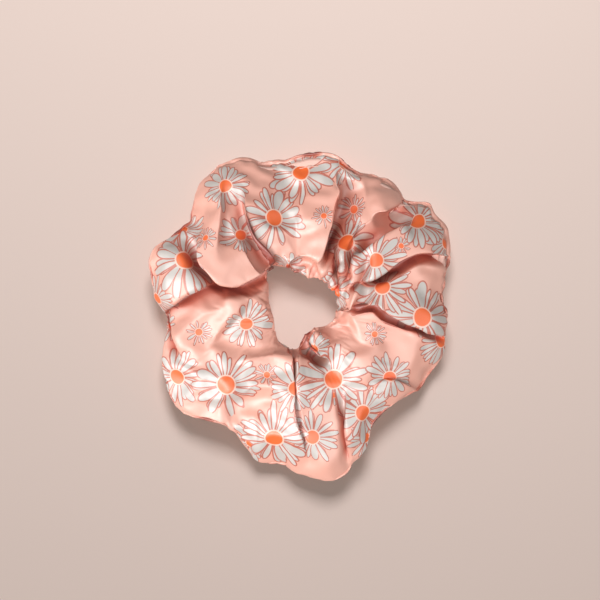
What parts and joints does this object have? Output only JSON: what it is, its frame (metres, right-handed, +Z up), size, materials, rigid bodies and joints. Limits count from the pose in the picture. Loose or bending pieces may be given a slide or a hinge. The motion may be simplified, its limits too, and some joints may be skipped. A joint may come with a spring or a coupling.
{
  "type": "scrunchie",
  "caption": "Ring-shaped hair tie: a gathered cloth casing around a loop of flat elastic, lying flat, that stretches wide and springs back.",
  "frame": {"origin": "on the surface the scrunchie lies on, under the centre of its bounding box", "axes": "+Z up through the hair opening; +Y along the longer way across the ring, away from the closing seam; +X across it, the way the pulled half moves"},
  "size_m": [0.1103, 0.1191, 0.025],
  "materials": {
    "satin": "soft satin sheen, peach ground with a white and orange daisy print",
    "braided_elastic": "matt ribbed braid",
    "sewing_thread": "twisted polyester"
  },
  "bodies": {
    "held_side": {"casing_held_half": "satin", "elastic_band": "braided_elastic", "side_seam_needle_thread": "sewing_thread", "side_seam_bobbin_thread": "sewing_thread", "closing_seam_needle_thread": "sewing_thread", "closing_seam_bobbin_thread": "sewing_thread", "elastic_join_needle_thread": "sewing_thread", "elastic_join_bobbin_thread": "sewing_thread"},
    "pulled_side": {"casing_pulled_half": "satin"}
  },
  "joints": [
    {"name": "stretch", "type": "slide", "parent": "held_side", "child": "pulled_side", "axis": [1, 0, 0], "range_m": [0, 0.07], "stiffness_N_per_m": 120, "deforming": ["elastic_band", "side_seam_needle_thread", "side_seam_bobbin_thread", "elastic_join_needle_thread", "elastic_join_bobbin_thread"]}
  ]
}
